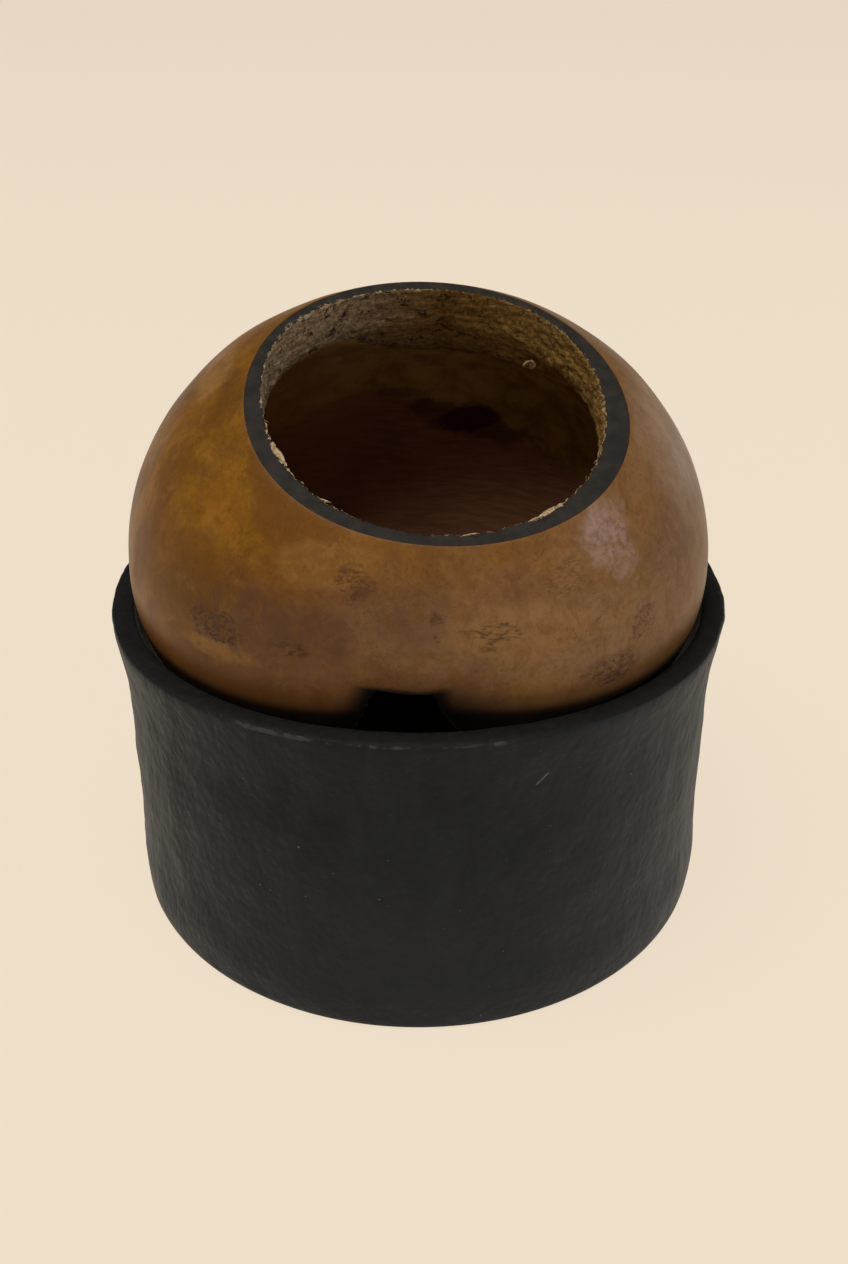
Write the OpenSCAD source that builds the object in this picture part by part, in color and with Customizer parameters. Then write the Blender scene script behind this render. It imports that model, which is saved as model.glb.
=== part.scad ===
// Thick-walled calabash gourd cup, cut open at a slant and seated in a leather band.
// +X right, -Y front, +Z up. The origin is the middle of the band's foot, on the surface it stands on.

/* [Gourd] */
// Width of the gourd at its widest girth
gourd_w = 97; // [80:0.5:125]
// Depth of the gourd at its widest girth, along its stem axis
gourd_d = 97; // [80:0.5:125]
// Height of the whole, uncut gourd above its widest girth
gourd_top = 42.4; // [36:0.2:56]
// Depth of the gourd below its widest girth
gourd_bottom = 36; // [28:0.5:48]
// Thickness of the shell
shell = 8; // [4:0.5:9]

/* [Mouth] */
// Width of the mouth, outside its cut edge
mouth_w = 58; // [50:0.5:66]
// Slope of the mouth towards the front, in degrees
mouth_tilt = 22; // [0:0.5:30]
// Slope of the mouth towards the right, in degrees
mouth_lean = 3.5; // [-8:0.5:8]
// How far the hand-cut edge strays from a flat cut
mouth_stray = 0.8; // [0:0.1:1.5]
// Width of the sanded edge round the mouth
lip_w = 2.4; // [1.8:0.1:4]
// How far that width strays round the mouth
lip_stray = 0.5; // [0:0.1:0.7]

/* [Stem and blossom ends] */
// Slope of the stem axis down towards the front, in degrees
stem_tilt = 9; // [0:1:15]
// Depth of the broad hollow round each end
hollow_depth = 2.6; // [0:0.1:5]
// Spread of the broad hollow, in degrees from the axis
hollow_spread = 24; // [16:1:30]
// Depth of the pit at the front end
front_pit = 6.5; // [0:0.1:9]
// Depth of the pit at the back end
back_pit = 4; // [0:0.1:9]
// Spread of each pit, in degrees from the axis
pit_spread = 10; // [8:0.5:14]

/* [Leather band] */
// Height of the band
band_h = 54.7; // [40:0.1:80]
// Thickness of the leather
leather = 4.2; // [2:0.1:7]
// How far the rim flares out beyond the waist
flare = 1.6; // [0:0.1:2]
// Height of the flare below the rim
flare_h = 11; // [5:0.5:16]
// How far the foot swells beyond the waist
foot_swell = 0.8; // [0:0.1:2]
// Height of the swelling's middle above the ground
foot_h = 5; // [3:0.5:8]
// Radius on the cut edges of the leather
edge_r = 0.9; // [0.2:0.1:1]

/* [Seat] */
// Height of the gourd's widest girth above the rim of the band
girth_rise = 6.6; // [4:0.2:9]
// Gap between the gourd and the rim of the band
seat_gap = 0.3; // [0.1:0.05:0.8]
// How far the girth, and the band round it, stray from a true round
out_of_round = 0.35; // [0:0.05:0.6]

/* [Hidden] */

turns = 72;           // columns round the gourd and round the band
skin_rows = 23;       // rows of the gourd's skin, from the bottom up to the mouth
bore_rows = 3;        // rows of the cut through the shell, from the lip down to the cavity
cavity_rows = 16;     // rows of the cavity's wall, from the cut down to the bottom
band_rows = 10;       // rows of the band's outer wall
lining_rows = 5;      // rows of its inner wall
edge_steps = 2;       // facets on a rounded leather edge
search_steps = 24;    // halvings used to find where two surfaces meet
pole_angle = 1.5;     // angle between the bottom point and the first row round it

gourd_z = band_h + girth_rise;

function turn_x(v, a) = [v.x, v.y * cos(a) - v.z * sin(a), v.y * sin(a) + v.z * cos(a)];
function turn_y(v, a) = [v.x * cos(a) + v.z * sin(a), v.y, v.z * cos(a) - v.x * sin(a)];
function bell(distance, spread) = exp(-pow(distance / spread, 2));

// Unit direction at a polar angle from the mouth's axis, and at a turn about that axis.
function aim(polar, turn) =
    turn_y(turn_x([sin(polar) * cos(turn), sin(polar) * sin(turn), cos(polar)], mouth_tilt), mouth_lean);

// The girth is a little fuller at its four corners than at its front, back and sides.
function stray(az) = -out_of_round * cos(4 * az);

// Hollow round one end of the stem axis: a broad dish with a narrow pit in it.
front_end = turn_x([0, -1, 0], stem_tilt);
function apart(u, v) = acos(max(-1, min(1, u * v)));
function end_hollow(u, end, pit) =
    let (angle = apart(u, end))
    hollow_depth * bell(angle, hollow_spread) + pit * bell(angle, pit_spread);

// Distance from the gourd's centre to its skin, in a direction.
function skin_reach(u) =
    1 / norm([2 * u.x / gourd_w, 2 * u.y / gourd_d, u.z / (u.z > 0 ? gourd_top : gourd_bottom)])
    + stray(atan2(u.y, u.x)) * pow(1 - u.z * u.z, 2)
    - end_hollow(u, front_end, front_pit)
    - end_hollow(u, -front_end, back_pit);

// The cut is this far from the centre along the mouth's axis. It wanders a little round the mouth.
mouth_share = mouth_w / max(gourd_w, gourd_d);
cut_middle = skin_reach(aim(0, 0)) * sqrt(1 - mouth_share * mouth_share);
function cut_at(turn) = cut_middle + mouth_stray * (cos(2 * turn - 32) - 0.25 * cos(3 * turn));

// Polar angle at which the skin comes up to the cut.
function skin_edge(turn, low = 5, high = 80, left = search_steps) =
    let (middle = (low + high) / 2)
    left == 0 ? middle
    : skin_reach(aim(middle, turn)) * cos(middle) > cut_at(turn)
        ? skin_edge(turn, middle, high, left - 1)
        : skin_edge(turn, low, middle, left - 1);

// The cut goes square through the shell, inside the lip, at this distance from the mouth's axis.
function lip_at(turn) =
    lip_w + lip_stray * (cos(turn + 47) + 0.8 * cos(2 * turn + 15) + cos(3 * turn + 54));
function bore_at(turn, edge) = cut_at(turn) * tan(edge) - lip_at(turn);

// Polar angle at which the bore opens into the cavity.
function bore_end(turn, bore, low, high = 85, left = search_steps) =
    let (middle = (low + high) / 2)
    left == 0 ? middle
    : (skin_reach(aim(middle, turn)) - shell) * sin(middle) < bore
        ? bore_end(turn, bore, middle, high, left - 1)
        : bore_end(turn, bore, low, middle, left - 1);

function between(low, high, share) = low + (high - low) * share;

// One column of the gourd at a turn: up the skin, over the lip, down the bore and the cavity.
function gourd_column(turn) =
    let (
        edge = skin_edge(turn),
        bore = bore_at(turn, edge),
        lip = atan2(bore, cut_at(turn)),
        open = bore_end(turn, bore, lip)
    )
    [
        for (i = [0 : skin_rows - 1])
            let (u = aim(between(180 - pole_angle, edge, i / (skin_rows - 1)), turn))
            skin_reach(u) * u,
        for (i = [0 : bore_rows - 1])
            let (polar = between(lip, open, i / bore_rows))
            bore / sin(polar) * aim(polar, turn),
        for (i = [0 : cavity_rows - 1])
            let (u = aim(between(open, 180 - pole_angle, i / (cavity_rows - 1)), turn))
            (skin_reach(u) - shell) * u
    ];

// Two triangles for each cell of a grid stored column by column, which wraps round its columns.
function grid_faces(columns, rows, closed) = [
    for (j = [0 : columns - 1], i = [0 : rows - (closed ? 1 : 2)])
        let (
            here = j * rows,
            next = (j + 1) % columns * rows,
            above = (i + 1) % rows
        )
        each [[here + i, here + above, next + above], [here + i, next + above, next + i]]
];

module gourd() {
    rows = skin_rows + bore_rows + cavity_rows;
    columns = [for (j = [0 : turns - 1]) gourd_column(j * 360 / turns)];
    down = aim(180, 0);
    points = [each each columns, skin_reach(down) * down, (skin_reach(down) - shell) * down];
    outer_tip = turns * rows;
    inner_tip = outer_tip + 1;
    caps = [
        for (j = [0 : turns - 1])
            let (here = j * rows, next = (j + 1) % turns * rows)
            each [[outer_tip, here, next], [inner_tip, next + rows - 1, here + rows - 1]]
    ];
    color("peru")
        translate([0, 0, gourd_z])
            polyhedron(points, concat(grid_faces(turns, rows, false), caps), convexity = 6);
}

// Distance from the middle to the inside of the band's rim: the gourd's own size there, and the gap.
rim_share = sqrt(1 - pow(girth_rise / gourd_bottom, 2));
function rim_inside(az) = rim_share / norm([2 * cos(az) / gourd_w, 2 * sin(az) / gourd_d]) + seat_gap;

// How far the band's wall stands out from its rim, at a height.
function ease(t) = let (s = max(0, min(1, t))) s * s * (3 - 2 * s);
function wall_shift(z) =
    flare * (ease((z - band_h + flare_h) / flare_h) - 1) + foot_swell * bell(z - foot_h, foot_h);

// Cross-section of the leather as [distance out from its inner face, height].
function corner(out, z, from) = [
    for (i = [0 : edge_steps])
        let (a = from + i * 90 / edge_steps)
        [out + edge_r * cos(a), z + edge_r * sin(a)]
];
function upright(out, low, high, rows) = [for (i = [1 : rows - 1]) [out, between(low, high, i / rows)]];
band_section = concat(
    corner(leather - edge_r, edge_r, -90),
    upright(leather, edge_r, band_h - edge_r, band_rows),
    corner(leather - edge_r, band_h - edge_r, 0),
    corner(edge_r, band_h - edge_r, 90),
    upright(0, band_h - edge_r, edge_r, lining_rows),
    corner(edge_r, edge_r, 180)
);

module leather_band() {
    points = [
        for (j = [0 : turns - 1], p = band_section)
            let (
                az = j * 360 / turns,
                out = rim_inside(az) + p[0] + wall_shift(p[1]) + stray(az) * ease(p[1] / band_h)
            )
            [out * cos(az), out * sin(az), p[1]]
    ];
    color([0.13, 0.13, 0.14])
        polyhedron(points, grid_faces(turns, len(band_section), true), convexity = 6);
}

gourd();
leather_band();
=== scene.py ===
import math
import random

import bpy
import numpy as np
from mathutils import Euler, Matrix, Vector


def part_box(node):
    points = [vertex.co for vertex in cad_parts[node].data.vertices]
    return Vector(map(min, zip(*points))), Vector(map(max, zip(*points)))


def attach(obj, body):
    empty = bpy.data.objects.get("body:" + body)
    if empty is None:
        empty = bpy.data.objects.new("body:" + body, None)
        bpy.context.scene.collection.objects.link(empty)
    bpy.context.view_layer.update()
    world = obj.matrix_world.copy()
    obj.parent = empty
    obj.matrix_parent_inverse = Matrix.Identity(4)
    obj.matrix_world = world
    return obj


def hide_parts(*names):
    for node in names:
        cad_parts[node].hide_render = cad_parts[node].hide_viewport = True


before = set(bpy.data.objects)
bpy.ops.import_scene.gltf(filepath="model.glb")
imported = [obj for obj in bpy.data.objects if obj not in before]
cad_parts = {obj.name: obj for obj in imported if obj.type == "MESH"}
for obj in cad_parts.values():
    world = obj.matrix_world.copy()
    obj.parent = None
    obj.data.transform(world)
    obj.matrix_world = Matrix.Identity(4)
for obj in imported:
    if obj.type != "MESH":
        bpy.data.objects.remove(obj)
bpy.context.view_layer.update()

# ---------------------------------------------------------------------------------------------
# Sizes, in metres where nothing else is said. Places come from the frame.
# ---------------------------------------------------------------------------------------------
MM = 0.001
BAND_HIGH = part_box("leather_band")[1]
BAND_TOP = BAND_HIGH.z
# The gourd's widest girth stands this far above the band.
GIRTH_RISE = 6.6 * MM
GOURD_MIDDLE = Vector((0, 0, BAND_TOP + GIRTH_RISE))
MOUTH_TILT = math.radians(22)
MOUTH_LEAN = math.radians(3.5)
MOUTH_TURN = Matrix.Rotation(MOUTH_LEAN, 3, "Y") @ Matrix.Rotation(MOUTH_TILT, 3, "X")
MOUTH_AXIS = MOUTH_TURN @ Vector((0, 0, 1))
# The straight cut through the shell is this deep, and the soft edge of the lip this wide.
BORE_DEPTH = 9 * MM
BORE_MM = BORE_DEPTH / MM
LIP_BEVEL = 0.35 * MM

# The pit where the stem sat, at the front, with a scar in it that the band's rim half hides.
# PIT_SPREAD and SCAR_NET are angles in degrees at the gourd's middle. The scar is a notch with
# a flat top: for each length below the top, each half widens by SCAR_WIDENING of that length
# and the middle shifts to the right by SCAR_SHIFT of it.
STEM_TILT = math.radians(9)
STEM_END = Vector((0, -math.cos(STEM_TILT), -math.sin(STEM_TILT)))
PIT_SPREAD = 10.0
PIT_FILL = 4.5 * MM
SCAR_NET = 17.0
SCAR_X = -1.9 * MM
SCAR_SHIFT = 0.03
SCAR_TOP = 59.2 * MM
SCAR_HALF = 4.1 * MM
SCAR_WIDENING = 0.30
SCAR_DEPTH = 7.0 * MM

# At the back the pith reaches PITH_EXTRA millimetres deeper than the cut, and a torn ledge
# stands out below it: wholly within PITH_FULL degrees of PITH_TURN, and not beyond PITH_NONE.
PITH_TURN = 76.0
PITH_FULL = 20.0
PITH_NONE = 52.0
PITH_EXTRA = 4.4
LEDGE_HEIGHT = 2.2 * MM

# Width in millimetres of the bare, torn strip along the lip's inner edge, by turn in degrees.
BARE_TURNS = (
    0, 30, 62, 95, 108, 162, 174, 208, 213, 223, 228,
    248, 254, 266, 271, 294, 299, 309, 314, 345, 360,
)
BARE_WIDTHS = (
    0.55, 0.55, 0.20, 0.22, 0.90, 0.90, 0.28, 0.24, 0.60, 0.60, 0.22,
    0.22, 0.02, 0.02, 0.14, 0.14, 0.55, 0.50, 0.20, 0.22, 0.55,
)

# The zones of the gourd, which are also its material slots.
SKIN, LIP, INSIDE, SCAR = 0, 1, 2, 3
# The lip's faces point along the mouth's axis at least this much, and lie this far up it.
LIP_FACING = 0.93
LIP_LOWEST = 20 * MM
# The zones of the leather band, in the same way.
WALL, CUT_EDGE, LINING = 0, 1, 2

# How many steps the weights of a mask are rounded to.
MASK_STEPS = 50


# ---------------------------------------------------------------------------------------------
# Modelling helpers
# ---------------------------------------------------------------------------------------------
def deselect():
    if bpy.context.mode != "OBJECT":
        bpy.ops.object.mode_set(mode="OBJECT")
    bpy.ops.object.select_all(action="DESELECT")


def make_active(piece):
    deselect()
    piece.hide_set(False)
    piece.select_set(True)
    bpy.context.view_layer.objects.active = piece


def copy_of_node(node, name):
    """A free copy of a CAD node, merged and turned into quads."""
    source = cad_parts[node]
    piece = bpy.data.objects.new(name, source.data.copy())
    piece.data.name = name
    bpy.context.scene.collection.objects.link(piece)
    piece.data.materials.clear()
    make_active(piece)
    bpy.ops.object.mode_set(mode="EDIT")
    bpy.ops.mesh.select_all(action="SELECT")
    bpy.ops.mesh.remove_doubles(threshold=0.001 * MM)
    bpy.ops.mesh.tris_convert_to_quads(face_threshold=math.pi, shape_threshold=math.pi)
    bpy.ops.mesh.normals_make_consistent(inside=False)
    bpy.ops.object.mode_set(mode="OBJECT")
    return piece


def apply_modifier(piece, kind, **settings):
    make_active(piece)
    modifier = piece.modifiers.new(kind.lower(), kind)
    for key, value in settings.items():
        setattr(modifier, key, value)
    bpy.ops.object.modifier_apply(modifier=modifier.name)


def smooth_surface(piece, levels):
    apply_modifier(piece, "SUBSURF", levels=levels, render_levels=levels)


def select_faces(piece, wanted):
    """Selects the faces whose index is in wanted, and nothing else."""
    make_active(piece)
    mesh = piece.data
    mesh.polygons.foreach_set("select", np.isin(np.arange(len(mesh.polygons)), wanted))
    mesh.edges.foreach_set("select", np.zeros(len(mesh.edges), bool))
    mesh.vertices.foreach_set("select", np.zeros(len(mesh.vertices), bool))
    bpy.ops.object.mode_set(mode="EDIT")
    bpy.ops.mesh.select_mode(type="FACE")
    bpy.ops.object.mode_set(mode="OBJECT")


def refine_faces(piece, wanted):
    """Halves the wanted faces along both of their sides."""
    select_faces(piece, wanted)
    bpy.ops.object.mode_set(mode="EDIT")
    bpy.ops.mesh.subdivide(number_cuts=1, smoothness=0)
    bpy.ops.object.mode_set(mode="OBJECT")


def points_of(mesh):
    flat = np.empty(len(mesh.vertices) * 3)
    mesh.vertices.foreach_get("co", flat)
    return flat.reshape(-1, 3)


def face_values(mesh, name, width):
    flat = np.empty(len(mesh.polygons) * width)
    mesh.polygons.foreach_get(name, flat)
    return flat.reshape(-1, width) if width > 1 else flat


def zone_edges(mesh, zone_a, zone_b):
    """Edges that lie between two zones."""
    zones = {}
    for face in mesh.polygons:
        for key in face.edge_keys:
            zones.setdefault(key, set()).add(face.material_index)
    wanted = {zone_a, zone_b}
    return [edge.index for edge in mesh.edges if zones[edge.key] == wanted]


def crease_edges(piece, edges, sharpness):
    mesh = piece.data
    crease = mesh.attributes.get("crease_edge") or mesh.attributes.new("crease_edge", "FLOAT", "EDGE")
    for index in edges:
        crease.data[index].value = sharpness


def bevel_edges(piece, edges, width, segments):
    make_active(piece)
    mesh = piece.data
    mesh.polygons.foreach_set("select", np.zeros(len(mesh.polygons), bool))
    mesh.vertices.foreach_set("select", np.zeros(len(mesh.vertices), bool))
    mesh.edges.foreach_set("select", np.isin(np.arange(len(mesh.edges)), edges))
    bpy.ops.object.mode_set(mode="EDIT")
    bpy.ops.mesh.select_mode(type="EDGE")
    bpy.ops.mesh.bevel(offset=width, segments=segments, affect="EDGES", clamp_overlap=True)
    bpy.ops.object.mode_set(mode="OBJECT")


def store(piece, name, values):
    """A number at every point of a piece, for its materials."""
    mesh = piece.data
    layer = mesh.attributes.get(name) or mesh.attributes.new(name, "FLOAT", "POINT")
    layer.data.foreach_set("value", np.asarray(values, np.float32))


def mask(piece, name, weights):
    """A vertex group with a weight from 0 to 1 at every point, in steps of 1 / MASK_STEPS."""
    group = piece.vertex_groups.get(name) or piece.vertex_groups.new(name=name)
    levels = np.round(np.clip(weights, 0, 1) * MASK_STEPS).astype(int)
    for level in np.unique(levels):
        if level:
            group.add(np.flatnonzero(levels == level).tolist(), level / MASK_STEPS, "REPLACE")


def relief(piece, group, size, height, depth, stretch=None):
    """Pushes the points of a group in and out along their normals, by cloudy noise.

    size is the grain and height the whole travel, in metres. depth is how many finer layers
    of noise are added. stretch is a turned and scaled set of axes that the noise follows.
    """
    texture = bpy.data.textures.new(f"{piece.name}_{group}_clouds", "CLOUDS")
    texture.noise_scale = size
    texture.noise_depth = depth
    options = dict(texture=texture, strength=height, mid_level=0.5, vertex_group=group)
    axes = None
    if stretch is not None:
        axes = bpy.data.objects.new("texture_axes", None)
        bpy.context.scene.collection.objects.link(axes)
        axes.matrix_world = stretch
        bpy.context.view_layer.update()
        options.update(texture_coords="OBJECT", texture_coords_object=axes)
    apply_modifier(piece, "DISPLACE", **options)
    if axes is not None:
        bpy.data.objects.remove(axes)


def push(piece, group, height):
    """Moves the points of a group along their normals by height."""
    apply_modifier(piece, "DISPLACE", strength=height, mid_level=0, vertex_group=group)


def rise(values, low, high):
    """0 below low, 1 above high, and a smooth step between them. low may be the larger."""
    t = np.clip((values - low) / (high - low), 0, 1)
    return t * t * (3 - 2 * t)


def smooth_shading(piece):
    make_active(piece)
    bpy.ops.object.shade_smooth()


# ---------------------------------------------------------------------------------------------
# The gourd
# ---------------------------------------------------------------------------------------------
def mouth_coordinates(points):
    """Turn round the mouth's axis in radians, distance from it, and height along it."""
    local = (points - np.array(GOURD_MIDDLE)) @ np.array(MOUTH_TURN)
    return np.arctan2(local[:, 1], local[:, 0]), np.hypot(local[:, 0], local[:, 1]), local[:, 2]


def mouth_point(turn_deg, radius, height):
    turn = math.radians(turn_deg)
    local = Vector((radius * math.cos(turn), radius * math.sin(turn), height))
    return GOURD_MIDDLE + MOUTH_TURN @ local


def mark_gourd_zones(piece):
    """Sorts the gourd's faces into skin, lip and inside, by their place and normal."""
    mesh = piece.data
    for _ in (SKIN, LIP, INSIDE, SCAR):
        mesh.materials.append(None)
    centres = face_values(mesh, "center", 3) - np.array(GOURD_MIDDLE)
    normals = face_values(mesh, "normal", 3)
    along = normals @ np.array(MOUTH_AXIS)
    height = centres @ np.array(MOUTH_AXIS)
    outward = np.einsum("ij,ij->i", centres, normals) > 0
    zones = np.where(outward, SKIN, INSIDE)
    zones[(along > LIP_FACING) & (height > LIP_LOWEST)] = LIP
    mesh.polygons.foreach_set("material_index", zones.astype(np.int32))


def rim_curve(piece, zone_a, zone_b):
    """The edge between two zones as turn, radius and height, sorted by turn."""
    mesh = piece.data
    ring = sorted({v for e in zone_edges(mesh, zone_a, zone_b) for v in mesh.edges[e].vertices})
    turn, radius, height = mouth_coordinates(points_of(mesh)[ring])
    order = np.argsort(turn)
    return turn[order], radius[order], height[order]


def along_rim(curve, turn, column):
    """The rim's radius, column 1, or its height, column 2, at a turn in radians."""
    return np.interp(turn, curve[0], curve[column], period=2 * math.pi)


def direction_angle(points, direction):
    """Angle in degrees at the gourd's middle between each point and a direction."""
    rays = points - np.array(GOURD_MIDDLE)
    rays /= np.linalg.norm(rays, axis=1)[:, None]
    return np.degrees(np.arccos(np.clip(rays @ np.array(Vector(direction).normalized()), -1, 1)))


def refine_gourd(gourd):
    """Smooths the gourd, softens the lip's outer edge and makes a finer net for the fine shapes."""
    crease_edges(gourd, zone_edges(gourd.data, SKIN, LIP), 1.0)
    crease_edges(gourd, zone_edges(gourd.data, LIP, INSIDE), 1.0)
    smooth_surface(gourd, 2)
    crease_edges(gourd, range(len(gourd.data.edges)), 0.0)
    bevel_edges(gourd, zone_edges(gourd.data, SKIN, LIP), LIP_BEVEL, 2)

    # The cut edge, the pith and the scar need the finer net.
    mesh = gourd.data
    inner = rim_curve(gourd, LIP, INSIDE)
    centres = face_values(mesh, "center", 3)
    zones = face_values(mesh, "material_index", 1)
    turn, _, height = mouth_coordinates(centres)
    depth = along_rim(inner, turn, 2) - height
    fine = (zones == LIP) | ((zones == INSIDE) & (depth < BORE_DEPTH + 2 * MM))
    fine |= (zones == SKIN) & (direction_angle(centres, STEM_END) < SCAR_NET)
    refine_faces(gourd, np.flatnonzero(fine))


def zones_of_points(mesh):
    """The zone of every point. Where zones meet, the lip goes first and the inside second."""
    zones = np.full(len(mesh.vertices), SKIN)
    for zone in (INSIDE, LIP):
        for face in mesh.polygons:
            if face.material_index == zone:
                zones[list(face.vertices)] = zone
    return zones


def cut_scar(gourd, points, skin):
    """Fills up the wide pit a little and cuts the scar into it, with a steep edge."""
    mask(gourd, "pit", skin * np.exp(-(direction_angle(points, STEM_END) / PIT_SPREAD) ** 2))
    push(gourd, "pit", PIT_FILL)

    # beside is 1 at the notch's side, whose foot is wider than its top.
    under = np.maximum(SCAR_TOP - points[:, 2], 0)
    half = SCAR_HALF + SCAR_WIDENING * under
    beside = np.abs(points[:, 0] - SCAR_X - SCAR_SHIFT * under) / half
    front = skin * (points[:, 1] < 0)
    scar = front * rise(beside, 1.25, 0.80)
    scar *= rise(points[:, 2], SCAR_TOP + 0.4 * MM, SCAR_TOP - 1.4 * MM)
    # The scar's faces take the near-black material that paints the shade in the pit.
    weights = [max(scar[v] for v in face.vertices) for face in gourd.data.polygons]
    select_faces(gourd, np.flatnonzero(np.array(weights) > 0.10))
    gourd.active_material_index = SCAR
    bpy.ops.object.mode_set(mode="EDIT")
    bpy.ops.object.material_slot_assign()
    bpy.ops.object.mode_set(mode="OBJECT")

    # Painted shade: the skin is darkened in a low arch over the scar, and right round the notch's edge.
    arch = np.hypot((points[:, 0] - 1 * MM) / (15 * MM), (points[:, 2] - BAND_TOP + 1 * MM) / (8 * MM))
    edge = rise(beside, 2.15, 1.32) * rise(points[:, 2], SCAR_TOP + 1.5 * MM, SCAR_TOP + 0.5 * MM)
    store(gourd, "scar_shade", front * np.maximum(0.9 * rise(arch, 1.0, 0.30), edge))
    mask(gourd, "scar", scar)
    push(gourd, "scar", -SCAR_DEPTH)


def tear_pith(gourd, zones, depth, inset, at_back):
    """Roughens the cut's edge, the pith, the ledge below it at the back, and the cavity's wall."""
    inside = zones == INSIDE
    near_edge = rise(np.abs(inset), 1.0, 0.0) * rise(depth, 1.2, 0.1)
    mask(gourd, "edge", (zones != SKIN) * near_edge)
    relief(gourd, "edge", 1.3 * MM, 0.7 * MM, 2)
    relief(gourd, "edge", 0.45 * MM, 0.5 * MM, 1)

    mask(gourd, "pith", inside * rise(depth, 0.0, 1.0) * rise(depth, BORE_MM + 1.5, BORE_MM - 1.5))
    mouth_turn = MOUTH_TURN.to_4x4().to_euler()
    flat_fibres = Matrix.LocRotScale(GOURD_MIDDLE, mouth_turn, Vector((3.0, 3.0, 1.0)))
    relief(gourd, "pith", 0.9 * MM, 1.0 * MM, 2, flat_fibres)
    relief(gourd, "pith", 0.5 * MM, 0.7 * MM, 2)

    below_cut = rise(depth, BORE_MM - 0.5, BORE_MM + 2.5) * rise(depth, 21.0, 13.0)
    mask(gourd, "ledge", inside * at_back * below_cut)
    push(gourd, "ledge", LEDGE_HEIGHT)
    relief(gourd, "ledge", 2.4 * MM, 0.9 * MM, 2)

    mask(gourd, "cavity", inside * rise(depth, BORE_MM - 1, BORE_MM + 4))
    relief(gourd, "cavity", 7 * MM, 0.9 * MM, 2)


def shape_gourd():
    """The gourd's whole surface, and the curve of the mouth's inner edge."""
    gourd = copy_of_node("gourd", "gourd_shell")
    mark_gourd_zones(gourd)
    refine_gourd(gourd)

    # depth is how far below the mouth's inner edge a point lies, and inset how far out from it,
    # both in millimetres.
    points = points_of(gourd.data)
    inner = rim_curve(gourd, LIP, INSIDE)
    turn, radius, height = mouth_coordinates(points)
    inset = (radius - along_rim(inner, turn, 1)) / MM
    depth = (along_rim(inner, turn, 2) - height) / MM
    turn_deg = np.degrees(turn) % 360
    at_back = rise(np.abs(turn_deg - PITH_TURN), PITH_NONE, PITH_FULL)
    store(gourd, "inset", inset)
    store(gourd, "depth", depth)
    store(gourd, "bare_width", np.interp(turn_deg, BARE_TURNS, BARE_WIDTHS))
    store(gourd, "pith_extra", PITH_EXTRA * at_back)

    zones = zones_of_points(gourd.data)
    skin = zones == SKIN
    cut_scar(gourd, points, skin)
    tear_pith(gourd, zones, depth, inset, at_back)
    mask(gourd, "skin", skin * rise(depth, 0.0, 2.0))
    relief(gourd, "skin", 14 * MM, 0.35 * MM, 1)
    smooth_shading(gourd)
    return gourd, inner


# Where torn fibres stand on the cut's inner edge: the turns in degrees that they lie between,
# how many there are, their longest length in millimetres and how far they lean into the mouth.
FRINGES = (
    (-30, 18, 130, 0.9, 0.40),
    (18, 66, 130, 1.0, 0.35),
    (66, 100, 20, 0.6, 0.25),
    (100, 172, 60, 0.8, 0.25),
    (172, 208, 12, 0.6, 0.30),
    (230, 250, 10, 0.6, 0.20),
    (268, 296, 10, 0.5, 0.20),
    (310, 330, 14, 0.6, 0.30),
)
# Larger chips that the saw tore out: turn in degrees, then drop below the edge, length, width
# and thickness in millimetres.
CHIPS = (
    (215.0, 0.15, 1.6, 0.6, 0.35),
    (218.6, 0.12, 3.8, 1.15, 0.40),
    (222.5, 0.15, 1.8, 0.5, 0.30),
    (206.0, 0.20, 1.0, 0.4, 0.30),
    (299.5, 0.15, 1.6, 0.4, 0.28),
    (303.8, 0.15, 3.4, 0.85, 0.35),
    (308.5, 0.20, 1.4, 0.4, 0.28),
    (294.0, 0.10, 0.9, 0.3, 0.20),
    (240.0, 0.10, 2.4, 0.32, 0.22),
    (281.0, 0.08, 2.2, 0.26, 0.18),
    (352.0, 0.30, 1.2, 0.5, 0.30),
    (143.0, 0.20, 1.3, 0.6, 0.35),
    (96.0, 0.20, 1.3, 0.5, 0.35),
)


def copy_placed(pattern, place):
    """A copy of a small piece, with its own mesh, set in place."""
    made = bpy.data.objects.new(pattern.name, pattern.data.copy())
    bpy.context.scene.collection.objects.link(made)
    made.data.transform(place)
    return made


def joined(pieces, name):
    deselect()
    for piece in pieces:
        piece.select_set(True)
    bpy.context.view_layer.objects.active = pieces[0]
    bpy.ops.object.join()
    pieces[0].name = pieces[0].data.name = name
    return pieces[0]


def rim_axes(inner, turn_deg, inward, drop):
    """Axes at the cut's inner edge: X along the edge, Y out from the mouth, Z up its axis."""
    turn = math.radians((turn_deg + 180) % 360 - 180)
    radius = along_rim(inner, turn, 1) - inward
    height = along_rim(inner, turn, 2) - drop
    place = mouth_point(math.degrees(turn), radius, height)
    around = MOUTH_TURN @ Vector((-math.sin(turn), math.cos(turn), 0))
    outward = MOUTH_TURN @ Vector((math.cos(turn), math.sin(turn), 0))
    axes = Matrix((around, outward, MOUTH_AXIS)).transposed().to_4x4()
    axes.translation = place
    return axes


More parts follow.
